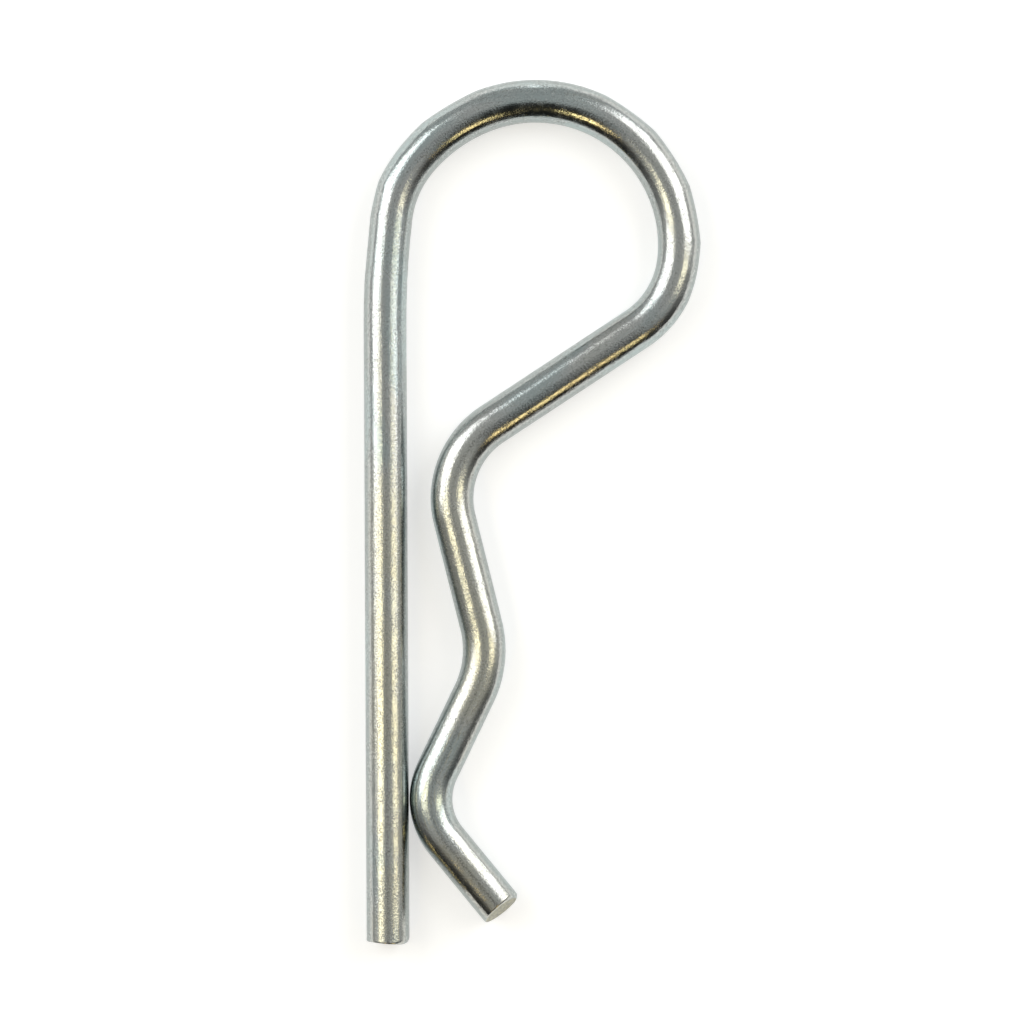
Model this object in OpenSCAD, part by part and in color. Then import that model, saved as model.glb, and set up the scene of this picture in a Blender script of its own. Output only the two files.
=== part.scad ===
// Spring clip that locks a hitch pin (R-clip, or hairpin cotter), bent from one length of round wire.
//
// The straight leg goes through the cross hole of the hitch pin, and the bent arm grips the pin's side.
// The clip lies flat in the XY plane with +Z up. The leg runs along Y, with the bow at +Y and both tips
// at -Y, and the arm is on the +X side. The origin is the point where the axis of the hitch pin meets
// the axis of the leg, and the pin's axis is Z.
//
// The wire is drawn as its successive stretches, each a straight run or a bend, which meet face to face.
// They follow one another from the leg's tip, up the leg, round the bow and down the arm to the toe.

/* [Wire] */
// Diameter of the wire
wire_d = 4; // [3:0.1:5]

/* [Leg] */
// Length of the leg, from its tip to the shoulder
leg_l = 57.4; // [47:0.1:75]
// From the leg's tip to the axis of the hitch pin
tip_to_pin = 27.2; // [20:0.1:34]
// Stretch of the leg above that axis that the pin's cross hole keeps straight
held_l = 8; // [6:0.1:12]

/* [Bow] */
// Radius of the first, slight sweep of the leg (all radii are to the wire's centreline)
sweep_r = 81; // [60:1:120]
// Angle of the sweep
sweep_a = 7; // [5:0.1:9]
// Radius of the shoulder
shoulder_r = 10.5; // [8:0.1:14]
// Angle of the shoulder
shoulder_a = 33.6; // [28:0.1:38]
// Radius of the crown, between the shoulder and the round of the bow
crown_r = 15.3; // [12:0.1:19]
// Angle of the crown
crown_a = 29.2; // [25:0.1:33]
// Radius of the round of the bow
bow_r = 13.35; // [11:0.05:17]
// Angle of the round of the bow
bow_a = 116.2; // [110:0.1:122]
// Radius of the bend that turns the bow back towards the leg
return_r = 8.8; // [6:0.1:12]
// Angle of the return bend
return_a = 50.9; // [46:0.1:56]

/* [Arm] */
// Radius of the neck, where the arm turns down beside the leg
neck_r = 8.2; // [5:0.1:11]
// Angle of the neck, which is less where the arm of a long clip would lean into the leg
neck_a = 70.7; // [66:0.1:75]
// Least gap between the neck and the leg
neck_gap = 2; // [1:0.1:4]
// Radius of the pin seat, the bend that wraps the hitch pin
seat_r = 9.4; // [7:0.1:12]
// Angle of the pin seat, which loses what the neck loses
seat_a = 39.7; // [36:0.1:44]
// Straight run from the pin seat to the heel
lower_run_l = 7.9; // [6:0.1:10]
// Radius of the heel, which rests against the leg when the clip is closed
heel_r = 6.1; // [4:0.1:9]
// Angle of the heel
heel_a = 65; // [58:0.1:72]
// Straight toe that guides the hitch pin in
toe_l = 8.2; // [5:0.1:12]

/* [Closing and ends] */
// Clear gap between the closed heel and the leg
heel_gap = 0.05; // [0.02:0.01:0.5]
// Slant of the cut at the leg's tip, longer on the arm's side
leg_cut_a = 5.5; // [0:0.5:15]
// Slant of the cut at the toe, longer at the underside
toe_cut_a = 13; // [0:0.5:20]

/* [Hidden] */
$fn = 64;
LEG_COLOUR = [0.74, 0.76, 0.75];
BEND_COLOUR = [0.66, 0.69, 0.70];
RUN_COLOUR = [0.78, 0.78, 0.73];

// The place of each stretch in the wire, counted from the leg's tip
STRAIGHT_LEG = 0;
UPPER_LEG = 1;
SHOULDER_SWEEP = 2;
SHOULDER_BEND = 3;
CROWN_BEND = 4;
BOW_TOP_BEND = 5;
BOW_SIDE_BEND = 6;
RETURN_BEND = 7;
RETURN_RUN = 8;
NECK_BEND = 9;
UPPER_RUN = 10;
SEAT_BEND = 11;
LOWER_RUN = 12;
HEEL_BEND = 13;
TOE = 14;

// A stretch is [radius, angle, length]. A bend to the left has a positive angle, seen from above
// and going along the wire from the leg's tip.
function run(l) = [0, 0, l];
function bend(r, a) = [r, a, 0];

// Unit vector at an angle, and the one to the left of it
function along(a) = [cos(a), sin(a)];
function left_of(a) = [-sin(a), cos(a)];

// Direction of the wire where stretch i starts, and the point where its centreline starts
function heading(w, i) = i == 0 ? 90 : heading(w, i - 1) + w[i - 1][1];
function start(w, i) = i == 0 ? [0, -tip_to_pin] : start(w, i - 1) + step(w, i - 1);

// From the start of stretch i to its end: its length, or the chord of its bend
function step(w, i) = (w[i][0] == 0 ? w[i][2] : 2 * w[i][0] * sin(abs(w[i][1]) / 2))
    * along(heading(w, i) + w[i][1] / 2);

// The leg and the bow, up to the end of the return bend
bow = [
    run(tip_to_pin + held_l),
    run(leg_l - tip_to_pin - held_l),
    bend(sweep_r, -sweep_a),
    bend(shoulder_r, -shoulder_a),
    bend(crown_r, -crown_a),
    bend(bow_r, -bow_a / 2),
    bend(bow_r, -bow_a / 2),
    bend(return_r, -return_a)
];

// The pin seat is level with the hitch pin, and as far from the leg as brings the heel to its gap
return_heading = heading(bow, RETURN_RUN);
lower_heading = return_heading + neck_a - seat_a;
heel_x = wire_d + heel_gap + heel_r;
seat_x = heel_x - (seat_r + heel_r) * left_of(lower_heading)[0] - lower_run_l * along(lower_heading)[0];
seat_centre = [seat_x, 0];

// The return run carries the centre of the neck along its own heading, from where a run of no
// length would have it. The run ends where the upper run leaves the neck at the neck's full angle
// and touches the round of the pin seat, or sooner, where the neck is at its least gap from the leg.
neck_from = start(bow, RETURN_RUN) + neck_r * left_of(return_heading);
return_way = along(return_heading);
upper_way = along(return_heading + neck_a);
both_r = neck_r + seat_r;
seat_side = seat_centre + both_r * left_of(return_heading + neck_a);
full_run_l = cross(seat_side - neck_from, upper_way) / cross(return_way, upper_way);
least_x = wire_d + neck_gap + neck_r;
return_run_l = min(full_run_l, (least_x - neck_from[0]) / return_way[0]);

// The upper run is the straight line that touches the round of the neck and, on its other side,
// the round of the pin seat
neck_to_seat = seat_centre - (neck_from + return_run_l * return_way);
upper_run_l = sqrt(neck_to_seat * neck_to_seat - both_r * both_r);
upper_heading = atan2(neck_to_seat[1], neck_to_seat[0]) + atan2(both_r, upper_run_l);
assert(return_run_l > 0 && upper_run_l > 0, "the arm has no room for its two runs");

clip = concat(bow, [
    run(return_run_l),
    bend(neck_r, upper_heading - return_heading),
    run(upper_run_l),
    bend(seat_r, lower_heading - upper_heading),
    run(lower_run_l),
    bend(heel_r, heel_a),
    run(toe_l)
]);

// Stretch i of the wire in its place
module stretch(i) {
    translate(start(clip, i)) rotate(heading(clip, i))
        if (clip[i][0] == 0) round_wire(clip[i][2]);
        else bent_wire(clip[i][0], clip[i][1]);
}

// Straight wire along +X
module round_wire(l) {
    rotate([0, 90, 0]) cylinder(d = wire_d, h = l);
}

// Bent wire that leaves along +X and turns left for a positive angle
module bent_wire(r, a) {
    translate([0, sign(a) * r, 0])
        rotate_extrude(angle = abs(a), start = a > 0 ? -90 : 90 + a)
            translate([r, 0]) circle(d = wire_d);
}

// Straight wire along +X from a shear cut at x = 0, which is longer where the wire's side of
// +Y is for a positive slant, and longer underneath for a positive tilt
module cut_wire(l, slant = 0, tilt = 0) {
    spare = wire_d;
    difference() {
        translate([-spare, 0, 0]) round_wire(l + spare);
        rotate([0, tilt, slant]) translate([-2 * spare, -spare, -spare])
            cube([2 * spare, 2 * spare, 2 * spare]);
    }
}

module straight_leg() {
    color(LEG_COLOUR)
        translate(start(clip, STRAIGHT_LEG)) rotate(heading(clip, STRAIGHT_LEG))
            cut_wire(clip[STRAIGHT_LEG][2], slant = -leg_cut_a);
}

module upper_leg() { color(RUN_COLOUR) stretch(UPPER_LEG); }
module shoulder_sweep() { color(BEND_COLOUR) stretch(SHOULDER_SWEEP); }
module shoulder_bend() { color(LEG_COLOUR) stretch(SHOULDER_BEND); }
module crown_bend() { color(BEND_COLOUR) stretch(CROWN_BEND); }
module bow_top_bend() { color(LEG_COLOUR) stretch(BOW_TOP_BEND); }
module bow_side_bend() { color(BEND_COLOUR) stretch(BOW_SIDE_BEND); }
module return_bend() { color(LEG_COLOUR) stretch(RETURN_BEND); }
module return_run() { color(RUN_COLOUR) stretch(RETURN_RUN); }
module neck_bend() { color(BEND_COLOUR) stretch(NECK_BEND); }
module upper_run() { color(RUN_COLOUR) stretch(UPPER_RUN); }
module seat_bend() { color(BEND_COLOUR) stretch(SEAT_BEND); }
module lower_run() { color(RUN_COLOUR) stretch(LOWER_RUN); }
module heel_bend() { color(BEND_COLOUR) stretch(HEEL_BEND); }

module toe() {
    color(LEG_COLOUR)
        translate(start(clip, TOE) + step(clip, TOE)) rotate(heading(clip, TOE) + 180)
            cut_wire(toe_l, tilt = toe_cut_a);
}

straight_leg();
upper_leg();
shoulder_sweep();
shoulder_bend();
crown_bend();
bow_top_bend();
bow_side_bend();
return_bend();
return_run();
neck_bend();
upper_run();
seat_bend();
lower_run();
heel_bend();
toe();
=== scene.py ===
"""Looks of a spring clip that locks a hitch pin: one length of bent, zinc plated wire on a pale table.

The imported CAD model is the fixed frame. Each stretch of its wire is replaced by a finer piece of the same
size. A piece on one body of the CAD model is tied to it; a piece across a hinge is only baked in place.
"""
import logging
import math
from dataclasses import dataclass, field
from enum import Enum
from typing import Callable, Optional, Sequence

import bmesh
import bpy
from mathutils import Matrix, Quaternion, Vector


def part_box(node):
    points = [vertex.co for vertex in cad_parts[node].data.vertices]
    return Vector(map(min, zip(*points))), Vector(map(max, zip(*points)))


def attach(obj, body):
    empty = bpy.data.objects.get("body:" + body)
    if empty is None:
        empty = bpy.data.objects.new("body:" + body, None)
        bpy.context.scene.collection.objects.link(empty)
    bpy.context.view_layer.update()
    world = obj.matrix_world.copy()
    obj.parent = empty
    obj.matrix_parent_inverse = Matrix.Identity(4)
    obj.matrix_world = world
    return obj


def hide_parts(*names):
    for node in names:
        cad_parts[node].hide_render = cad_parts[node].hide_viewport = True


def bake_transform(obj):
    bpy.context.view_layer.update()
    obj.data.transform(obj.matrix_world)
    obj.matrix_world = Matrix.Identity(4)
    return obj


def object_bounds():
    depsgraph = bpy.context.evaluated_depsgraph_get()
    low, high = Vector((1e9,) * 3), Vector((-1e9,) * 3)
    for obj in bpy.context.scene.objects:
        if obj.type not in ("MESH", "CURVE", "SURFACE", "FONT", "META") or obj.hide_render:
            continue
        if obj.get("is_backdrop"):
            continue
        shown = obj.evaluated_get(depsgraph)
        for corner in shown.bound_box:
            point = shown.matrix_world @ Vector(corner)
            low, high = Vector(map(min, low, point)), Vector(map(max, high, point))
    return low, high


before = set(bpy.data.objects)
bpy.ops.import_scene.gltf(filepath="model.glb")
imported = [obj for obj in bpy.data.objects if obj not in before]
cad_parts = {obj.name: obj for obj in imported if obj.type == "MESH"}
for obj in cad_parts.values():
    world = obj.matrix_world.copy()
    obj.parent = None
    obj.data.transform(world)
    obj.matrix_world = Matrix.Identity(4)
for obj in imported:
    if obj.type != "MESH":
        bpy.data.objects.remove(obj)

LOG = logging.getLogger("spring_clip")
MM = 0.001
Span = tuple[float, float]
Colour = tuple[float, float, float, float]


def unit(angle: float) -> Vector:
    """Unit vector in the clip's plane at an angle from +X, in radians."""
    return Vector((math.cos(angle), math.sin(angle), 0.0))


def left_of(angle: float) -> Vector:
    """Unit vector in the clip's plane to the left of a heading, in radians."""
    return Vector((-math.sin(angle), math.cos(angle), 0.0))


@dataclass(frozen=True)
class ClipSizes:
    """Sizes of the wire, in millimetres and degrees. Radii are to the wire's centreline."""

    wire_d: float = 4.0
    tip_to_pin: float = 27.2
    held_l: float = 8.0
    leg_l: float = 57.4
    sweep_r: float = 81.0
    sweep_a: float = 7.0
    shoulder_r: float = 10.5
    shoulder_a: float = 33.6
    crown_r: float = 15.3
    crown_a: float = 29.2
    bow_r: float = 13.35
    bow_a: float = 116.2
    return_r: float = 8.8
    return_a: float = 50.9
    neck_r: float = 8.2
    neck_a: float = 70.7
    seat_r: float = 9.4
    seat_a: float = 39.7
    lower_run_l: float = 7.9
    heel_r: float = 6.1
    heel_a: float = 65.0
    toe_l: float = 8.2
    heel_gap: float = 0.05
    leg_cut_a: float = 5.5
    toe_cut_a: float = 13.0


@dataclass(frozen=True)
class Stretch:
    """One straight run or one bend of the wire, in metres and radians.

    Attributes:
        name: Name of the CAD node that it follows.
        radius: Radius of the centreline, or 0 for a run.
        turn: Angle of the bend, positive to the left.
        length: Length of the centreline.
        origin: Point where the centreline starts.
        heading: Direction there, as an angle from +X.
        along: Length of wire before it, from the leg's tip.
    """

    name: str
    radius: float
    turn: float
    length: float
    origin: Vector
    heading: float
    along: float

    @property
    def centre(self) -> Vector:
        """Centre of the bend."""
        return self.origin + math.copysign(self.radius, self.turn) * left_of(self.heading)

    def heading_at(self, run: float) -> float:
        """Direction of the wire at a distance from the start of the stretch."""
        return self.heading + (self.turn * run / self.length if self.radius else 0.0)

    def point_at(self, run: float) -> Vector:
        """Point of the centreline.

        Args:
            run: Distance from the start of the stretch, in metres.

        Returns:
            The point, in the clip's frame.
        """
        if not self.radius:
            return self.origin + run * unit(self.heading)
        return self.centre - math.copysign(self.radius, self.turn) * left_of(self.heading_at(run))

    def place_of(self, point: Vector) -> Vector:
        """Where a point would lie if the wire were straight.

        Args:
            point: A point of this stretch, in the clip's frame.

        Returns:
            The distance along the wire from the leg's tip, and those to the wire's left and upwards.
        """
        if not self.radius:
            offset = point - self.origin
            run, left = offset.dot(unit(self.heading)), offset.dot(left_of(self.heading))
        else:
            side = math.copysign(1.0, self.turn)
            arm = Vector((point.x, point.y, 0.0)) - self.centre
            heading = math.atan2(arm.y, arm.x) + side * math.pi / 2
            turned = math.remainder(heading - self.heading - self.turn / 2, math.tau) + self.turn / 2
            run, left = self.radius * side * turned, side * (self.radius - arm.length)
        return Vector((self.along + run, left, point.z))


class WirePath:
    """The centreline of the whole wire, from the leg's tip to the toe."""

    def __init__(self, sizes: ClipSizes) -> None:
        """Closes the clip and lays its stretches end to end.

        Args:
            sizes: The sizes of the wire.
        """
        self.sizes = sizes
        return_l, upper_l = self._closing_runs()
        self.stretches: dict[str, Stretch] = self._laid_out(return_l, upper_l)

    def _rows(self, return_l: float, upper_l: float) -> list[tuple[str, float, float, float]]:
        """What each stretch is.

        Args:
            return_l: Length of the return run, in millimetres.
            upper_l: Length of the upper run.

        Returns:
            The name, radius, angle and length of each stretch, in millimetres and degrees.
        """
        s = self.sizes
        return [
            ("straight_leg", 0, 0, s.tip_to_pin + s.held_l),
            ("upper_leg", 0, 0, s.leg_l - s.tip_to_pin - s.held_l),
            ("shoulder_sweep", s.sweep_r, -s.sweep_a, 0),
            ("shoulder_bend", s.shoulder_r, -s.shoulder_a, 0),
            ("crown_bend", s.crown_r, -s.crown_a, 0),
            ("bow_top_bend", s.bow_r, -s.bow_a / 2, 0),
            ("bow_side_bend", s.bow_r, -s.bow_a / 2, 0),
            ("return_bend", s.return_r, -s.return_a, 0),
            ("return_run", 0, 0, return_l),
            ("neck_bend", s.neck_r, s.neck_a, 0),
            ("upper_run", 0, 0, upper_l),
            ("seat_bend", s.seat_r, -s.seat_a, 0),
            ("lower_run", 0, 0, s.lower_run_l),
            ("heel_bend", s.heel_r, s.heel_a, 0),
            ("toe", 0, 0, s.toe_l),
        ]

    def _laid_out(self, return_l: float, upper_l: float) -> dict[str, Stretch]:
        """Lays the stretches end to end from the leg's tip.

        Args:
            return_l: Length of the return run, in millimetres.
            upper_l: Length of the upper run.

        Returns:
            The stretches in place, by name and in order.
        """
        laid: dict[str, Stretch] = {}
        origin = Vector((0.0, -self.sizes.tip_to_pin * MM, 0.0))
        heading, along = math.pi / 2, 0.0
        for name, radius, angle, length in self._rows(return_l, upper_l):
            turn = math.radians(angle)
            run = (radius * abs(turn) if radius else length) * MM
            stretch = Stretch(name, radius * MM, turn, run, origin, heading, along)
            laid[name] = stretch
            origin, heading, along = stretch.point_at(run), heading + turn, along + run
        return laid

    def _closing_runs(self) -> tuple[float, float]:
        """Works out the two runs that close the clip.

        Returns:
            The lengths in millimetres of the return run and the upper run that bring the heel to its gap
            from the leg and the pin seat level with the pin.
        """
        opened = self._laid_out(0.0, 0.0)
        heel, seat = opened["heel_bend"].centre, opened["seat_bend"].centre
        back, down = unit(opened["return_run"].heading), unit(opened["upper_run"].heading)
        heel_x = (self.sizes.wire_d + self.sizes.heel_gap + self.sizes.heel_r) * MM
        missing = Vector((heel_x - heel.x, -seat.y))
        det = back.x * down.y - back.y * down.x
        return_l = (missing.x * down.y - missing.y * down.x) / det
        upper_l = (back.x * missing.y - back.y * missing.x) / det
        return return_l / MM, upper_l / MM

    def check_against_frame(self, tolerance: float = 0.06 * MM) -> None:
        """Stops the script if a stretch isn't where the CAD node of its name is.

        Args:
            tolerance: How far outside the node's box its centreline may be, in metres.

        Raises:
            ValueError: A stretch and its CAD node are in different places.
        """
        for name, stretch in self.stretches.items():
            low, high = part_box(name)
            for share in (0.0, 0.5, 1.0):
                point = stretch.point_at(share * stretch.length)
                for axis in range(2):
                    if not low[axis] - tolerance <= point[axis] <= high[axis] + tolerance:
                        raise ValueError(f"{name} isn't where its CAD node is")


@dataclass(frozen=True)
class FormingFlat:
    """A flat that the forming tool pressed on the outside of the bow, which is the wire's left.

    Attributes:
        start: Distance along the wire from the leg's tip to where the flat starts, in metres.
        end: Distance to where it ends.
        depth: How far its middle is pressed in, in metres.
    """

    start: float
    end: float
    depth: float

    def pressed(self, along: float, angle: float) -> float:
        """How far the surface is pressed in: most in the middle of the flat, and nothing at its ends.

        Args:
            along: Distance along the wire from the leg's tip, in metres.
            angle: Angle round the wire, from its left side upwards.

        Returns:
            The depth, in metres.
        """
        if not self.start < along < self.end:
            return 0.0
        share = (along - self.start) / (self.end - self.start)
        facing = max(0.0, math.cos(angle))
        return self.depth * 4 * share * (1 - share) * facing ** 2


class WireSkin:
    """The wire's surface: a round tube about the path, with the flats of its forming.

    Attributes:
        STEP: Distance between the points that give the surface's slope, in metres.
    """

    STEP = 0.02 * MM

    def __init__(self, path: WirePath, flats: Sequence[FormingFlat]) -> None:
        """Keeps the wire's radius and the flats.

        Args:
            path: The wire's centreline.
            flats: The flats on its bends.
        """
        self.flats = flats
        self.radius = path.sizes.wire_d * MM / 2

    def pressed(self, along: float, angle: float) -> float:
        """How far the flats press the surface in at a distance along the wire and an angle round it."""
        return sum(flat.pressed(along, angle) for flat in self.flats)

    def point(self, stretch: Stretch, run: float, angle: float) -> Vector:
        """Point of the surface.

        Args:
            stretch: The stretch that it lies on.
            run: Distance from the start of the stretch.
            angle: Angle round the wire, from its left side upwards.

        Returns:
            The point, in the clip's frame.
        """
        radius = self.radius - self.pressed(stretch.along + run, angle)
        side = left_of(stretch.heading_at(run))
        return stretch.point_at(run) + radius * (math.cos(angle) * side + Vector((0, 0, math.sin(angle))))

    def normal(self, stretch: Stretch, run: float, angle: float) -> Vector:
        """Outward normal of the surface.

        Args:
            stretch: The stretch that the point lies on.
            run: Distance from the start of the stretch.
            angle: Angle round the wire, from its left side upwards.

        Returns:
            The normal, of unit length.
        """
        step, turn = self.STEP, self.STEP / self.radius
        lengthwise = self.point(stretch, run + step, angle) - self.point(stretch, run - step, angle)
        roundwise = self.point(stretch, run, angle + turn) - self.point(stretch, run, angle - turn)
        return lengthwise.cross(roundwise).normalized() * -1


@dataclass(frozen=True)
class ShearCut:
    """A sheared end of the wire, with a rim that the blade dragged over.

    Attributes:
        normal: Normal of the cut's plane, out of the wire.
        rim: Smallest radius of the rim, in metres.
        rollover: Largest radius of the rim, on the side where the blade came in.
        blade_side: Angle round the wire of that side, from the wire's left side upwards.
        focus: How closely the largest radius keeps to that side.
        reach: Length of wire in which the mesh's rings turn from the cut's slant to square.
    """

    normal: Vector
    rim: float
    rollover: float
    blade_side: float
    focus: float = 1.5
    reach: float = 3.0 * MM

    def drawn_in(self, depth: float, angle: float) -> float:
        """How far the rim's rounding draws the surface in.

        Args:
            depth: Distance below the cut, in metres.
            angle: Angle round the wire, from its left side upwards.

        Returns:
            The distance towards the centreline, in metres.
        """
        facing = max(0.0, math.cos(angle - self.blade_side))
        radius = self.rim + (self.rollover - self.rim) * facing ** self.focus
        left = min(1.0, max(0.0, 1.0 - depth / radius))
        return radius * (1.0 - math.sqrt(1.0 - left * left))

    def slide(self, heading: float, left: float, up: float, depth: float) -> float:
        """How far a point moves along the wire to lie as the cut slants.

        Args:
            heading: Direction of the wire, in radians.
            left: The point's distance to the wire's left.
            up: Its distance upwards.
            depth: Its distance from the end of the wire's centreline.

        Returns:
            The distance that it moves towards the heading.
        """
        aside = left * self.normal.dot(left_of(heading)) + up * self.normal.z
        return -aside / self.normal.dot(unit(heading)) * max(0.0, 1.0 - depth / self.reach)


class Editing:
    """Edit mode on one mesh, with helpers that select by place and call the mesh operators."""

    def __init__(self, piece: bpy.types.Object) -> None:
        """Keeps the object to edit."""
        self.piece = piece

    def __enter__(self) -> "Editing":
        """Makes the piece the only selected object and enters edit mode.

        Returns:
            The helpers themselves.
        """
        bpy.ops.object.select_all(action="DESELECT")
        bpy.context.view_layer.objects.active = self.piece
        self.piece.select_set(True)
        bpy.ops.object.mode_set(mode="EDIT")
        bpy.ops.mesh.select_mode(type="VERT")
        return self

    def __exit__(self, *_: object) -> None:
        """Leaves edit mode."""
        bpy.ops.object.mode_set(mode="OBJECT")

    def select(self, wanted: Callable[[Vector], bool]) -> int:
        """Selects the vertices at the wanted places, and the edges and faces between them.

        Args:
            wanted: Says of a vertex's place whether it is wanted.

        Returns:
            How many vertices are selected.
        """
        mesh = bmesh.from_edit_mesh(self.piece.data)
        for part in (*mesh.verts, *mesh.edges, *mesh.faces):
            part.select = False
        for vertex in mesh.verts:
            vertex.select = wanted(vertex.co)
        mesh.select_flush(True)
        bmesh.update_edit_mesh(self.piece.data)
        return sum(vertex.select for vertex in mesh.verts)


class WirePiece:
    """One stretch of wire, modelled as a closed tube with its ends where the CAD node's are.

    Attributes:
        SIDES: Vertices in a ring of the tube.
        RIM_RINGS: Rings in the rounded rim of a cut.
        RUN_STEP: Longest distance between the rings of a straight run.
        BEND_STEP: Largest angle between the rings of a bend.
        QUAD: Vertices in a face of the tube's side. The faces at its ends have more.
        SHEARED: Place of the sheared face's finish among the finishes.
        SAME: Distance under which two places count as one, in metres.
    """

    SIDES = 96
    RIM_RINGS = 12
    RUN_STEP = 0.6 * MM
    BEND_STEP = math.radians(1.6)
    QUAD = 4
    SHEARED = 1
    SAME = 2e-7

    def __init__(self, name: str, skin: WireSkin, stretch: Stretch, span: Optional[Span] = None,
                 cut_start: Optional[ShearCut] = None, cut_end: Optional[ShearCut] = None) -> None:
        """Keeps what the piece is made from.

        Args:
            name: Name of the piece.
            skin: The wire's surface.
            stretch: The stretch that the piece lies on.
            span: Where it starts and ends on the stretch, in metres, if it isn't all of it.
            cut_start: The shear cut at its start, if the wire starts there.
            cut_end: The shear cut at its end, if the wire ends there.
        """
        self.name = name
        self.skin = skin
        self.stretch = stretch
        self.start, self.end = span or (0.0, stretch.length)
        self.cut_start, self.cut_end = cut_start, cut_end
        self.piece: Optional[bpy.types.Object] = None

    def build(self, finishes: Sequence[bpy.types.Material]) -> bpy.types.Object:
        """Models the piece, shapes it and dresses it.

        Args:
            finishes: The plating, and the finish of a sheared face.

        Returns:
            The finished mesh object, at the origin.
        """
        self._add_ring()
        self._draw_out()
        self._shape_surface()
        for finish in finishes:
            self.piece.data.materials.append(finish)
        self._store_wire_place()
        self._set_normals()
        return self.piece

    def _add_ring(self) -> None:
        """Adds the ring of vertices that the tube is drawn from, square to the wire."""
        heading = self.stretch.heading_at(self.start)
        bpy.ops.object.select_all(action="DESELECT")
        bpy.ops.mesh.primitive_circle_add(
            vertices=self.SIDES, radius=self.skin.radius, fill_type="NOTHING",
            location=self.stretch.point_at(self.start), rotation=(math.pi / 2, 0.0, heading + math.pi / 2))
        self.piece = bpy.context.object
        self.piece.name = self.piece.data.name = self.name
        bpy.ops.object.transform_apply(location=True, rotation=True, scale=True)

    def _rim_steps(self, cut: Optional[ShearCut]) -> list[float]:
        """Works out the extrusions of a cut's rim, which are finest at the cut.

        Args:
            cut: The cut, if the wire is cut there.

        Returns:
            Their lengths, from the cut inwards.
        """
        if not cut:
            return []
        quarter = math.pi / 2
        depths = [1.0 - math.cos(quarter * ring / self.RIM_RINGS) for ring in range(self.RIM_RINGS + 1)]
        return [(deep - shallow) * cut.rollover for shallow, deep in zip(depths, depths[1:])]

    def _run_steps(self) -> list[float]:
        """Works out the extrusions of a straight run.

        Returns:
            Their lengths, from the start of the run.
        """
        first, last = self._rim_steps(self.cut_start), self._rim_steps(self.cut_end)[::-1]
        middle = self.end - self.start - sum(first) - sum(last)
        count = math.ceil(middle / self.RUN_STEP)
        return first + [middle / count] * count + last

    def _draw_out(self) -> None:
        """Extrudes or spins the ring along the stretch, and closes both ends."""
        with Editing(self.piece) as editing:
            bpy.ops.mesh.select_all(action="SELECT")
            if self.stretch.radius:
                self._spin_ring()
            else:
                direction = unit(self.stretch.heading)
                for step in self._run_steps():
                    bpy.ops.mesh.extrude_region_move(TRANSFORM_OT_translate={"value": direction * step})
            # The last ring is the one that is selected now
            bpy.ops.mesh.edge_face_add()
            edge, heading = self.stretch.point_at(self.start), unit(self.stretch.heading_at(self.start))
            ring = editing.select(lambda place: abs((place - edge).dot(heading)) < self.SAME)
            if ring != self.SIDES:
                raise ValueError(f"{self.name}: {ring} vertices in the first ring")
            bpy.ops.mesh.edge_face_add()
            bpy.ops.mesh.select_all(action="SELECT")
            bpy.ops.mesh.normals_make_consistent(inside=False)

    def _spin_ring(self) -> None:
        """Spins the selected ring about the bend's centre."""
        angle = self.stretch.turn * (self.end - self.start) / self.stretch.length
        steps = math.ceil(abs(angle) / self.BEND_STEP)
        bpy.ops.mesh.spin(steps=steps, angle=abs(angle), center=self.stretch.centre,
                          axis=(0.0, 0.0, -math.copysign(1.0, angle)))

    def _cut_near(self, run: float) -> tuple[Optional[ShearCut], float]:
        """Finds the cut that shapes the wire at a place.

        Args:
            run: Distance from the start of the stretch, in metres.

        Returns:
            The cut, if one is within its reach, and the depth below it.
        """
        if self.cut_start and run < self.cut_start.reach:
            return self.cut_start, run
        if self.cut_end and self.end - run < self.cut_end.reach:
            return self.cut_end, self.end - run
        return None, 0.0

    def _shape_surface(self) -> None:
        """Presses the forming flats into the tube, and rounds and slants its cut ends."""
        for vertex in self.piece.data.vertices:
            place = self.stretch.place_of(vertex.co)
            run, angle = place.x - self.stretch.along, math.atan2(place.z, place.y)
            cut, depth = self._cut_near(run)
            heading = self.stretch.heading_at(run)
            radius = self.skin.radius - self.skin.pressed(place.x, angle)
            if cut:
                radius -= cut.drawn_in(depth, angle)
            left, up = radius * math.cos(angle), radius * math.sin(angle)
            if cut:
                run += cut.slide(heading, left, up, depth)
            vertex.co = self.stretch.point_at(run) + left * left_of(heading) + Vector((0.0, 0.0, up))

    def _store_wire_place(self) -> None:
        """Stores each vertex's place on the straight wire, which the plating's pattern follows."""
        mesh = self.piece.data
        layer = mesh.attributes.new("wire_place", "FLOAT_VECTOR", "POINT")
        for vertex, value in zip(mesh.vertices, layer.data):
            value.vector = self.stretch.place_of(vertex.co)

    def _set_normals(self) -> None:
        """Gives the tube the exact normals of the wire's surface, so that no seam shows between pieces.

        A rounded rim keeps the mesh's own normals, and its cut face is flat.
        """
        mesh = self.piece.data
        mesh.shade_smooth()
        exact: list[Vector] = []
        for vertex in mesh.vertices:
            place = self.stretch.place_of(vertex.co)
            run, angle = place.x - self.stretch.along, math.atan2(place.z, place.y)
            cut, _ = self._cut_near(run)
            rounded = cut and math.hypot(place.y, place.z) < self.skin.radius - self.SAME
            exact.append(Vector((0, 0, 0)) if rounded else self.skin.normal(self.stretch, run, angle))
        normals: list[Vector] = [Vector((0, 0, 0))] * len(mesh.loops)
        for face in mesh.polygons:
            capped = len(face.vertices) > self.QUAD
            if capped and self._cut_near(self.stretch.place_of(face.center).x - self.stretch.along)[0]:
                face.material_index = self.SHEARED
            for loop, index in zip(face.loop_indices, face.vertices):
                normals[loop] = face.normal.copy() if capped else exact[index]
        mesh.normals_split_custom_set(normals)


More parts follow.
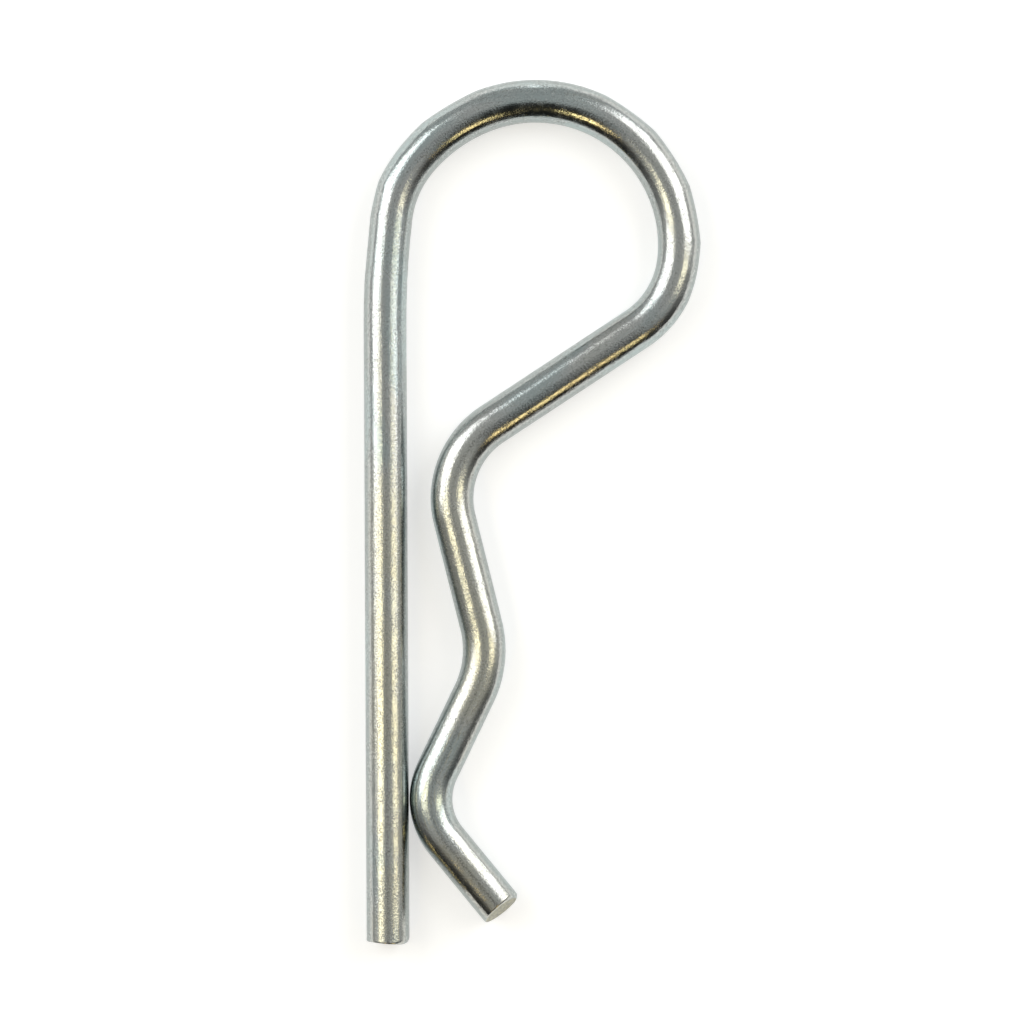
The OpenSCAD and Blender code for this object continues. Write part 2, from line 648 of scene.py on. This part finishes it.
@dataclass(frozen=True)
class Ease:
    """A value eased from one range to another, and held at its ends.

    Attributes:
        low: Value that gives to_low.
        high: Value that gives to_high.
        to_low: Result at the low end.
        to_high: Result at the high end.
    """

    low: float
    high: float
    to_low: float = 0.0
    to_high: float = 1.0


@dataclass(frozen=True)
class Pattern:
    """A noise pattern, with values about a half.

    Attributes:
        scale: Number of spots in a millimetre.
        detail: Number of finer layers.
        roughness: Strength of each finer layer.
        stretch: Factors on the three coordinates, less than 1 where the spots are drawn out.
    """

    scale: float
    detail: float
    roughness: float = 0.5
    stretch: tuple[float, float, float] = (1.0, 1.0, 1.0)


class NodeGraph:
    """Short calls for building a node tree."""

    def __init__(self, tree: bpy.types.NodeTree) -> None:
        """Empties the tree and keeps it."""
        tree.nodes.clear()
        self.tree = tree

    def add(self, kind: str, inputs: Optional[dict] = None, **settings: object) -> bpy.types.Node:
        """Adds a node.

        Args:
            kind: The node's type.
            inputs: Values or output sockets for its inputs, by name or number.
            settings: Properties of the node.

        Returns:
            The node.
        """
        node = self.tree.nodes.new(kind)
        for key, value in settings.items():
            setattr(node, key, value)
        for key, value in (inputs or {}).items():
            if isinstance(value, bpy.types.NodeSocket):
                self.tree.links.new(value, node.inputs[key])
            else:
                node.inputs[key].default_value = value
        return node

    def maths(self, operation: str, *values: object, clamp: bool = False) -> bpy.types.NodeSocket:
        """A Math node's result for numbers or sockets."""
        node = self.add("ShaderNodeMath", dict(enumerate(values)), operation=operation, use_clamp=clamp)
        return node.outputs[0]

    def stretched(self, vector: bpy.types.NodeSocket, factors: Sequence[float]) -> bpy.types.NodeSocket:
        """A vector with each coordinate multiplied."""
        node = self.add("ShaderNodeVectorMath", {0: vector, 1: tuple(factors)}, operation="MULTIPLY")
        return node.outputs[0]

    def part(self, vector: bpy.types.NodeSocket, axis: str) -> bpy.types.NodeSocket:
        """One coordinate of a vector, by its letter."""
        return self.add("ShaderNodeSeparateXYZ", {0: vector}).outputs[axis]

    def noise(self, place: bpy.types.NodeSocket, pattern: Pattern) -> bpy.types.NodeSocket:
        """A noise pattern over a place in millimetres."""
        node = self.add("ShaderNodeTexNoise", {
            "Vector": self.stretched(place, pattern.stretch), "Scale": pattern.scale,
            "Detail": pattern.detail, "Roughness": pattern.roughness})
        return node.outputs["Fac"]

    def ramp(self, value: bpy.types.NodeSocket, ease: Ease) -> bpy.types.NodeSocket:
        """A value eased from one range to another."""
        node = self.add("ShaderNodeMapRange", {
            "Value": value, "From Min": ease.low, "From Max": ease.high,
            "To Min": ease.to_low, "To Max": ease.to_high}, interpolation_type="SMOOTHSTEP")
        return node.outputs[0]

    def mixed(self, share: bpy.types.NodeSocket, first: object, second: object) -> bpy.types.NodeSocket:
        """A mix of two colours, each a colour or a socket."""
        node = self.add("ShaderNodeMix", {0: share, 6: first, 7: second}, data_type="RGBA")
        return node.outputs[2]

    def bump(self, height: bpy.types.NodeSocket) -> bpy.types.NodeSocket:
        """The normal of a surface raised by a height in metres."""
        return self.add("ShaderNodeBump", {"Height": height, "Distance": 1.0, "Strength": 1.0}).outputs[0]


@dataclass(frozen=True)
class ZincPlate:
    """Bright zinc plating with a clear passivate on drawn wire.

    Attributes:
        zinc: Colour of the plating.
        straw: Its yellow bloom.
        blue: Its blue-green bloom.
        painted_side_shade: Painted shade, a darker colour low on the wire's sides.
        pit: Colour in the pits of the grain.
        painted_glint: Painted glints, a lighter colour on specks of the grain.
        gloss: Roughness where it is smoothest.
        matt: Roughness where it is coarsest.
        grain: Height of the grain's bumps, in metres.
        drawn: Height of the drawing lines, in metres.
        wave: Height of the slow unevenness, in metres.
    """

    zinc: Colour = (0.53, 0.545, 0.54, 1.0)
    straw: Colour = (0.61, 0.565, 0.41, 1.0)
    blue: Colour = (0.43, 0.52, 0.525, 1.0)
    # Painted shade: a darker colour for the wire's lower sides
    painted_side_shade: Colour = (0.30, 0.345, 0.34, 1.0)
    pit: Colour = (0.27, 0.27, 0.26, 1.0)
    # Painted glints: a lighter colour for specks of the grain
    painted_glint: Colour = (0.66, 0.67, 0.65, 1.0)
    gloss: float = 0.15
    matt: float = 0.22
    grain: float = 0.012 * MM
    drawn: float = 0.010 * MM
    wave: float = 0.003 * MM

    # Patterns on the straightened wire, where the first coordinate runs along it
    GRAIN = Pattern(5.6, 2.0, 0.6)
    SPECKS = Pattern(6.5, 2.0, 0.6, (0.8, 1.0, 1.0))
    LINES = Pattern(5.0, 3.0, 0.6, (0.05, 1.0, 1.0))
    WAVE = Pattern(0.55, 1.0, stretch=(0.6, 1.0, 1.0))
    CLOUD = Pattern(0.28, 2.0, stretch=(0.3, 1.0, 1.0))
    PATCH = Pattern(0.8, 3.0, 0.6, (1.0, 1.6, 1.6))

    # Heights above the wire's centreline, in millimetres, and what they make of the finish: painted shade
    # low on the sides, and the straw bloom on top
    SIDES_SHADE_PAINTED = Ease(1.5, 0.9, 0.0, 0.85)
    TOP_TINTED = Ease(0.9, 1.8)

    # Distance from the hitch pin towards the bow, in metres, and how much of the straw shows
    LEG_TINTED = Ease(24 * MM, 6 * MM, 0.35, 1.0)

    # Where each pattern tints, pits, polishes or raises the plating, and where its specks get painted
    # glints
    CLOUD_BLUE = Ease(0.50, 0.32, 0.0, 0.65)
    LINES_BLUE = Ease(0.42, 0.30, 0.0, 0.4)
    CLOUD_STRAW = Ease(0.42, 0.62, 0.12, 0.5)
    LINES_STRAW = Ease(0.54, 0.70, 0.0, 0.6)
    PATCH_WORN = Ease(0.36, 0.60, 0.12, 0.6)
    SPECKS_PITTED = Ease(0.50, 0.62)
    SPECKS_GLINT_PAINTED = Ease(0.46, 0.36)
    PATCH_MATT = (0.35, 0.68)
    PATCH_COARSE = Ease(0.30, 0.65, 0.8, 1.3)
    PIT_ROUGHNESS = 0.15

    def make(self) -> bpy.types.Material:
        """Builds the material.

        Returns:
            A material whose pattern follows the wire_place attribute.
        """
        material = bpy.data.materials.new("zinc_plate")
        material.use_nodes = True
        graph = NodeGraph(material.node_tree)
        place = graph.add("ShaderNodeAttribute", attribute_name="wire_place").outputs["Vector"]
        place = graph.stretched(place, (1 / MM,) * 3)
        lines, patch = graph.noise(place, self.LINES), graph.noise(place, self.PATCH)

        specks, worn = graph.noise(place, self.SPECKS), graph.ramp(patch, self.PATCH_WORN)
        pitted = graph.maths("MULTIPLY", graph.ramp(specks, self.SPECKS_PITTED), worn)
        # Painted glints: a share of the specks is lightened towards a brighter colour
        raised = graph.maths("MULTIPLY", graph.ramp(specks, self.SPECKS_GLINT_PAINTED), worn)
        colour = graph.mixed(raised, self._tinted(graph, place, lines), self.painted_glint)
        colour = graph.mixed(pitted, colour, self.pit)

        matt = graph.ramp(patch, Ease(*self.PATCH_MATT, self.gloss, self.matt))
        rough = graph.maths("ADD", matt, graph.maths("MULTIPLY", pitted, self.PIT_ROUGHNESS), clamp=True)
        shader = graph.add("ShaderNodeBsdfPrincipled", {
            "Base Color": colour, "Metallic": 1.0, "Roughness": rough,
            "Normal": graph.bump(self._height(graph, place, lines, patch))})
        graph.add("ShaderNodeOutputMaterial", {0: shader.outputs[0]})
        return material

    def _tinted(self, graph: NodeGraph, place: bpy.types.NodeSocket,
                lines: bpy.types.NodeSocket) -> bpy.types.NodeSocket:
        """Tints the plating with painted shade on its lower sides and with its two blooms.

        Args:
            graph: The material's nodes.
            place: Place on the straightened wire, in millimetres.
            lines: The pattern of the drawing lines.

        Returns:
            The colour.
        """
        cloud, height = graph.noise(place, self.CLOUD), graph.part(place, "Z")
        # Painted shade: the colour darkens low on the wire's sides
        colour = graph.mixed(graph.ramp(height, self.SIDES_SHADE_PAINTED), self.zinc, self.painted_side_shade)
        colour = graph.mixed(graph.ramp(cloud, self.CLOUD_BLUE), colour, self.blue)
        colour = graph.mixed(graph.ramp(lines, self.LINES_BLUE), colour, self.blue)
        from_pin = graph.part(graph.add("ShaderNodeTexCoord").outputs["Object"], "Y")
        streaks = graph.ramp(lines, self.LINES_STRAW)
        bloom = graph.maths("MAXIMUM", graph.ramp(cloud, self.CLOUD_STRAW), streaks)
        bloom = graph.maths("MULTIPLY", bloom, graph.ramp(from_pin, self.LEG_TINTED))
        bloom = graph.maths("MULTIPLY", bloom, graph.ramp(height, self.TOP_TINTED))
        return graph.mixed(bloom, colour, self.straw)

    def _height(self, graph: NodeGraph, place: bpy.types.NodeSocket, lines: bpy.types.NodeSocket,
                patch: bpy.types.NodeSocket) -> bpy.types.NodeSocket:
        """Adds up the grain, the drawing lines and the slow unevenness.

        Args:
            graph: The material's nodes.
            place: Place on the straightened wire, in millimetres.
            lines: The pattern of the drawing lines.
            patch: The pattern of coarser and finer patches.

        Returns:
            The height, in metres.
        """
        grain = graph.maths("MULTIPLY", graph.noise(place, self.GRAIN), self.grain)
        height = graph.maths("MULTIPLY", grain, graph.ramp(patch, self.PATCH_COARSE))
        height = graph.maths("ADD", height, graph.maths("MULTIPLY", lines, self.drawn))
        wave = graph.maths("MULTIPLY", graph.noise(place, self.WAVE), self.wave)
        return graph.maths("ADD", height, wave)


@dataclass(frozen=True)
class ShearedFace:
    """The cut face of the wire, torn by the shear and plated over.

    Attributes:
        smooth: Colour of the burnished part of the face.
        torn: Colour of the torn part.
        tear: Height of the tear lines, in metres.
    """

    smooth: Colour = (0.43, 0.42, 0.31, 1.0)
    torn: Colour = (0.27, 0.27, 0.22, 1.0)
    tear: float = 0.02 * MM

    GRAIN = Pattern(4.0, 4.0, 0.65)
    TEARS = Pattern(2.2, 3.0, 0.6, (2.2, 2.2, 0.35))
    TEARS_TORN = Ease(0.42, 0.60)
    GRAIN_ROUGHNESS = Ease(0.3, 0.7, 0.32, 0.55)

    def make(self) -> bpy.types.Material:
        """Builds the material.

        Returns:
            A material whose pattern follows the object's own coordinates.
        """
        material = bpy.data.materials.new("sheared_face")
        material.use_nodes = True
        graph = NodeGraph(material.node_tree)
        place = graph.stretched(graph.add("ShaderNodeTexCoord").outputs["Object"], (1 / MM,) * 3)
        grain, tears = graph.noise(place, self.GRAIN), graph.noise(place, self.TEARS)
        height = graph.maths("MULTIPLY", graph.maths("ADD", grain, tears), self.tear)
        shader = graph.add("ShaderNodeBsdfPrincipled", {
            "Base Color": graph.mixed(graph.ramp(tears, self.TEARS_TORN), self.smooth, self.torn),
            "Metallic": 1.0, "Roughness": graph.ramp(grain, self.GRAIN_ROUGHNESS),
            "Normal": graph.bump(height)})
        graph.add("ShaderNodeOutputMaterial", {0: shader.outputs[0]})
        return material


class Movement(Enum):
    """The body that a piece rides on as the clip opens, or the two bodies of the hinge that it lies across.
    """

    LEG = ("leg",)
    SHOULDER_FLEX = ("leg", "shoulder")
    SHOULDER = ("shoulder",)
    CROWN_FLEX = ("shoulder", "bow_top")
    BOW_FLEX = ("bow_top", "bow_side")
    RETURN_FLEX = ("bow_side", "arm")
    NECK_FLEX = ("arm", "grip")
    GRIP = ("grip",)


@dataclass
class Clip:
    """The spring clip: the wire's stretches, dressed, and tied to the bodies of the CAD model where they
    ride on one.

    Attributes:
        sizes: Sizes of the wire.
        rim: Smallest radius of the rims of the cut ends, in millimetres.
        tip_rollover: Largest radius of the rim of the leg's tip.
        toe_rollover: Largest radius of the rim of the toe.
        tip_blade_side: Angle round the wire of the side where the blade came in, at the leg's tip.
        toe_blade_side: The same at the toe.
        flat_depth: Depth of the forming flats of the bow, in millimetres.
        shoulder_marks: Distances along the wire to the ridges between the flats of the shoulder.
        bow_marks: Distances along the wire to the ridges between the flats of the bow's side.
        bend_from: Share of the upper leg from which the leg bends with the shoulder.
        crest: Share of the bow's top at which one hinge's bending ends and the next one's starts.
        slot: Name of a material slot. Not used.
    """

    sizes: ClipSizes = field(default_factory=ClipSizes)
    rim: float = 0.12
    tip_rollover: float = 0.75
    toe_rollover: float = 0.4
    tip_blade_side: float = math.radians(180)
    toe_blade_side: float = math.radians(20)
    flat_depth: float = 0.10
    shoulder_marks: tuple[float, ...] = (62.5, 66.7, 70.0, 75.9, 81.0)
    bow_marks: tuple[float, ...] = (92.0, 96.8, 102.1, 106.8, 111.5)
    bend_from: float = 0.5
    crest: float = 0.5
    slot: str = "zinc_wire"
    pieces: list[bpy.types.Object] = field(default_factory=list)

    def build(self) -> None:
        """Models every piece of the wire, and ties each piece that rides on one body to that body."""
        path = WirePath(self.sizes)
        path.check_against_frame()
        skin = WireSkin(path, self._flats())
        finishes = (ZincPlate().make(), ShearedFace().make())
        bow_top = path.stretches["bow_top_bend"]
        crest = self.crest * bow_top.length
        cuts = self._cuts(path)
        moves = self._moves()
        for name, stretch in path.stretches.items():
            if stretch is bow_top:
                halves = (("bow_top_rise", (0.0, crest), Movement.CROWN_FLEX),
                          ("bow_top_fall", (crest, bow_top.length), Movement.BOW_FLEX))
                for half, span, move in halves:
                    self._add(WirePiece(half, skin, stretch, span), finishes, move, path)
                continue
            piece = WirePiece(f"{name}_wire", skin, stretch, cut_start=cuts.get((name, "start")),
                              cut_end=cuts.get((name, "end")))
            self._add(piece, finishes, moves[name], path)

    def _flats(self) -> list[FormingFlat]:
        """Sets out the flats of the bow.

        Returns:
            A flat between each two ridges that the forming tool left.
        """
        flats = []
        for marks in (self.shoulder_marks, self.bow_marks):
            for start, end in zip(marks, marks[1:]):
                flats.append(FormingFlat(start * MM, end * MM, self.flat_depth * MM))
        return flats

    def _cuts(self, path: WirePath) -> dict[tuple[str, str], ShearCut]:
        """Sets out the shear cuts.

        Args:
            path: The wire's centreline.

        Returns:
            The cuts at the leg's tip and at the toe, by the stretch and its end.
        """
        leg, toe = path.stretches["straight_leg"], path.stretches["toe"]
        slant, tilt = math.radians(self.sizes.leg_cut_a), math.radians(self.sizes.toe_cut_a)
        tip_way = -math.cos(slant) * unit(leg.heading) + math.sin(slant) * left_of(leg.heading)
        toe_way = math.cos(tilt) * unit(toe.heading) + Vector((0.0, 0.0, math.sin(tilt)))
        rim, tip_rim, toe_rim = self.rim * MM, self.tip_rollover * MM, self.toe_rollover * MM
        return {
            (leg.name, "start"): ShearCut(tip_way, rim, tip_rim, self.tip_blade_side),
            (toe.name, "end"): ShearCut(toe_way, rim, toe_rim, self.toe_blade_side),
        }

    @staticmethod
    def _moves() -> dict[str, Movement]:
        """How each stretch follows the clip as it opens."""
        return {
            "straight_leg": Movement.LEG,
            "upper_leg": Movement.SHOULDER_FLEX,
            "shoulder_sweep": Movement.SHOULDER_FLEX,
            "shoulder_bend": Movement.SHOULDER,
            "crown_bend": Movement.CROWN_FLEX,
            "bow_side_bend": Movement.BOW_FLEX,
            "return_bend": Movement.RETURN_FLEX,
            "return_run": Movement.RETURN_FLEX,
            "neck_bend": Movement.NECK_FLEX,
            "upper_run": Movement.NECK_FLEX,
            "seat_bend": Movement.GRIP,
            "lower_run": Movement.GRIP,
            "heel_bend": Movement.GRIP,
            "toe": Movement.GRIP,
        }

    def _bending_zone(self, move: Movement, path: WirePath) -> tuple[Vector, Vector]:
        """Where the wire starts and ends bending for one hinge.

        Args:
            move: The hinge, as the two bodies that it joins.
            path: The wire's centreline.

        Returns:
            Two points between which the wire turns from one body to the next.
        """
        ends = {
            Movement.SHOULDER_FLEX: (("upper_leg", self.bend_from), ("shoulder_sweep", 1.0)),
            Movement.CROWN_FLEX: (("crown_bend", 0.0), ("bow_top_bend", self.crest)),
            Movement.BOW_FLEX: (("bow_top_bend", self.crest), ("bow_side_bend", 1.0)),
            Movement.RETURN_FLEX: (("return_bend", 0.0), ("return_run", 1.0)),
            Movement.NECK_FLEX: (("neck_bend", 0.0), ("upper_run", 1.0)),
        }[move]
        (first, first_share), (last, last_share) = ends
        runs = [(path.stretches[first], first_share), (path.stretches[last], last_share)]
        start, end = (stretch.point_at(share * stretch.length) for stretch, share in runs)
        way = (end - start).normalized()
        tilts = [abs(left_of(s.heading_at(share * s.length)).dot(way)) for s, share in runs]
        wire_r = self.sizes.wire_d * MM / 2
        return start + way * wire_r * tilts[0], end - way * wire_r * tilts[1]

    def _add(self, made: WirePiece, finishes: Sequence[bpy.types.Material], move: Movement,
             path: WirePath) -> None:
        """Builds one piece, lets it stand for its CAD node, and ties it to its body if it rides on one; a
        piece across a hinge is only baked in place.

        Args:
            made: The piece to build.
            finishes: The plating, and the finish of a sheared face.
            move: How the piece follows the clip.
            path: The wire's centreline.
        """
        piece = made.build(finishes)
        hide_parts(made.stretch.name)
        if len(move.value) == 1:
            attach(piece, move.value[0])
        else:
            start, end = self._bending_zone(move, path)
            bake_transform(piece)
        self.pieces.append(piece)
        LOG.info("%s: %d faces, follows %s", piece.name, len(piece.data.polygons), " and ".join(move.value))


@dataclass(frozen=True)
class SoftLight:
    """A soft rectangular light that faces the clip.

    Attributes:
        name: Name of the lamp.
        azimuth: Its direction in plan, in degrees from +X.
        from_zenith: Its angle from straight overhead, in degrees.
        width: Angle that it takes up sideways, in degrees.
        height: Angle that it takes up from top to bottom, in degrees.
        radiance: How bright its face is.
        roll: Turn about its own axis, in degrees.
        colour: Its colour.
    """

    name: str
    azimuth: float
    from_zenith: float
    width: float
    height: float
    radiance: float
    roll: float = 0.0
    colour: tuple[float, float, float] = (1.0, 1.0, 1.0)

    def place(self, target: Vector, distance: float) -> None:
        """Adds the lamp.

        Args:
            target: Point that it faces.
            distance: How far away it stands, in metres.
        """
        data = bpy.data.lights.new(self.name, "AREA")
        data.shape = "RECTANGLE"
        data.size = 2 * distance * math.tan(math.radians(self.width / 2))
        data.size_y = 2 * distance * math.tan(math.radians(self.height / 2))
        data.energy = math.pi * self.radiance * data.size * data.size_y
        data.color = self.colour
        lamp = bpy.data.objects.new(self.name, data)
        bpy.context.scene.collection.objects.link(lamp)
        tilt = math.radians(self.from_zenith)
        back = math.sin(tilt) * unit(math.radians(self.azimuth)) + Vector((0.0, 0.0, math.cos(tilt)))
        lamp.location = target + distance * back
        rolled = Quaternion((0.0, 0.0, 1.0), math.radians(self.roll))
        lamp.rotation_euler = (back.to_track_quat("Z", "Y") @ rolled).to_euler()
        lamp.visible_camera = False


@dataclass(frozen=True)
class Studio:
    """A pale table under soft boxes and small warm lights, in a room that is dark on the near side.

    Attributes:
        field_width: Width of the camera's field at the wire, in metres.
        camera_height: Height of the camera above the wire, in metres.
        camera_target: Point under the camera, in millimetres from the pin's axis.
        roll: Turn of the camera, in degrees.
        lamp_distance: Distance of the lamps from the clip, in metres.
        table_width: Width of the table, in metres.
        table_colour: Colour of the table.
        table_lift: How far the table is lifted towards white where it is seen as background.
        room: Brightness of the room overhead.
        dark_side: Brightness of the room on the near side.
    """

    field_width: float = 95.03 * MM
    camera_height: float = 0.6
    camera_target: tuple[float, float] = (11.695, 12.74)
    roll: float = -0.281
    lamp_distance: float = 0.5
    table_width: float = 6.0
    table_colour: Colour = (0.72, 0.72, 0.72, 1.0)
    table_lift: float = 0.54
    room: float = 0.46
    dark_side: float = 0.012

    # The room's light goes by the direction to each part of it: X to the right, Y away, Z up. A wedge on
    # the near side is dark, most so nearest, and what lies low beside it is dimmed. The far end is too.
    SPREAD = 1.4
    WEDGE = Ease(-0.10, 0.06)
    NEAR = Ease(-0.75, -0.12, 0.15, 1.0)
    FAR = Ease(0.1, 0.6, 1.0, 0.88)
    BESIDE = Ease(-0.30, -0.08)
    LOW = Ease(0.45, 0.70, 0.6, 1.0)
    DAYLIGHT = (0.97, 1.0, 0.99, 1.0)

    CREAM = (1.0, 0.92, 0.66)
    GOLD = (1.0, 0.77, 0.36)
    LAMPS = (
        SoftLight("soft_box_right", 30.0, 54.0, 39.0, 41.0, 2.2, roll=-32.0),
        SoftLight("soft_box_left", 155.0, 54.0, 39.0, 42.0, 2.2, roll=32.0),
        SoftLight("side_box_right", 52.0, 67.0, 12.0, 18.0, 2.2),
        SoftLight("warm_edge_right", 355.0, 43.0, 6.0, 28.0, 2.4, colour=CREAM),
        SoftLight("warm_edge_left", 188.0, 36.0, 8.0, 28.0, 2.8, colour=CREAM),
        SoftLight("warm_spot_right", 300.0, 54.0, 14.0, 13.0, 2.8, colour=GOLD),
        SoftLight("warm_spot_left", 245.0, 45.0, 7.0, 8.0, 11.0, colour=GOLD),
        SoftLight("back_strip", 90.0, 84.0, 6.0, 12.0, 1.6),
    )

    def build(self) -> None:
        """Adds the table, the room, the lamps and the camera."""
        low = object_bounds()[0]
        target = Vector((*self.camera_target, 0.0)) * MM
        self._table(low.z, target)
        self._room()
        for lamp in self.LAMPS:
            lamp.place(target, self.lamp_distance)
        self._camera(target)
        bpy.context.scene.view_settings.view_transform = "Standard"

    def _table(self, height: float, centre: Vector) -> None:
        """Adds the table top.

        Args:
            height: Height that the clip rests at, in metres.
            centre: Point below the camera.
        """
        bpy.ops.object.select_all(action="DESELECT")
        bpy.ops.mesh.primitive_plane_add(size=self.table_width, location=(centre.x, centre.y, height))
        table = bpy.context.object
        table.name = "table"
        table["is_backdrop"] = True
        material = bpy.data.materials.new("pale_table")
        material.use_nodes = True
        graph = NodeGraph(material.node_tree)
        rays = graph.add("ShaderNodeLightPath").outputs
        seen = graph.maths("ADD", rays["Is Camera Ray"], rays["Is Glossy Ray"])
        seen = graph.maths("ADD", seen, rays["Is Transmission Ray"], clamp=True)
        lift = graph.add("ShaderNodeEmission", {"Strength": graph.maths("MULTIPLY", seen, self.table_lift)})
        top = graph.add("ShaderNodeBsdfDiffuse", {"Color": self.table_colour})
        both = graph.add("ShaderNodeAddShader", {0: top.outputs[0], 1: lift.outputs[0]})
        graph.add("ShaderNodeOutputMaterial", {0: both.outputs[0]})
        table.data.materials.append(material)

    def _room(self) -> None:
        """Adds the room's light: even grey, with a dark wedge on the near side that widens lower down."""
        world = bpy.data.worlds.new("room")
        bpy.context.scene.world = world
        world.use_nodes = True
        graph = NodeGraph(world.node_tree)
        way = graph.add("ShaderNodeTexCoord").outputs["Generated"]
        aside, away, up = (graph.part(way, axis) for axis in "XYZ")
        spread = graph.maths("MULTIPLY", graph.maths("ABSOLUTE", aside), self.SPREAD)
        share = graph.ramp(graph.maths("ADD", away, spread), self.WEDGE)
        low = graph.maths("MAXIMUM", graph.ramp(away, self.BESIDE), graph.ramp(up, self.LOW))
        for factor in (graph.ramp(away, self.NEAR), graph.ramp(away, self.FAR), low):
            share = graph.maths("MULTIPLY", share, factor)
        strength = graph.ramp(share, Ease(0.0, 1.0, self.dark_side, self.room))
        light = graph.add("ShaderNodeBackground", {"Color": self.DAYLIGHT, "Strength": strength})
        graph.add("ShaderNodeOutputWorld", {0: light.outputs[0]})

    def _camera(self, target: Vector) -> None:
        """Adds the camera, straight above the clip.

        Args:
            target: Point below it.
        """
        data = bpy.data.cameras.new("camera")
        data.lens = data.sensor_width * self.camera_height / self.field_width
        camera = bpy.data.objects.new("camera", data)
        camera.location = target + Vector((0.0, 0.0, self.camera_height))
        camera.rotation_euler = (0.0, 0.0, math.radians(self.roll))
        bpy.context.scene.collection.objects.link(camera)
        bpy.context.scene.camera = camera


def main() -> None:
    """Builds the clip and the studio."""
    logging.basicConfig(level=logging.INFO, format="%(name)s: %(message)s")
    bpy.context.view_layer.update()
    Studio().build()
    clip = Clip()
    clip.build()
    bpy.context.view_layer.update()
    LOG.info("%d pieces of wire", len(clip.pieces))


if __name__ == "__main__":
    main()
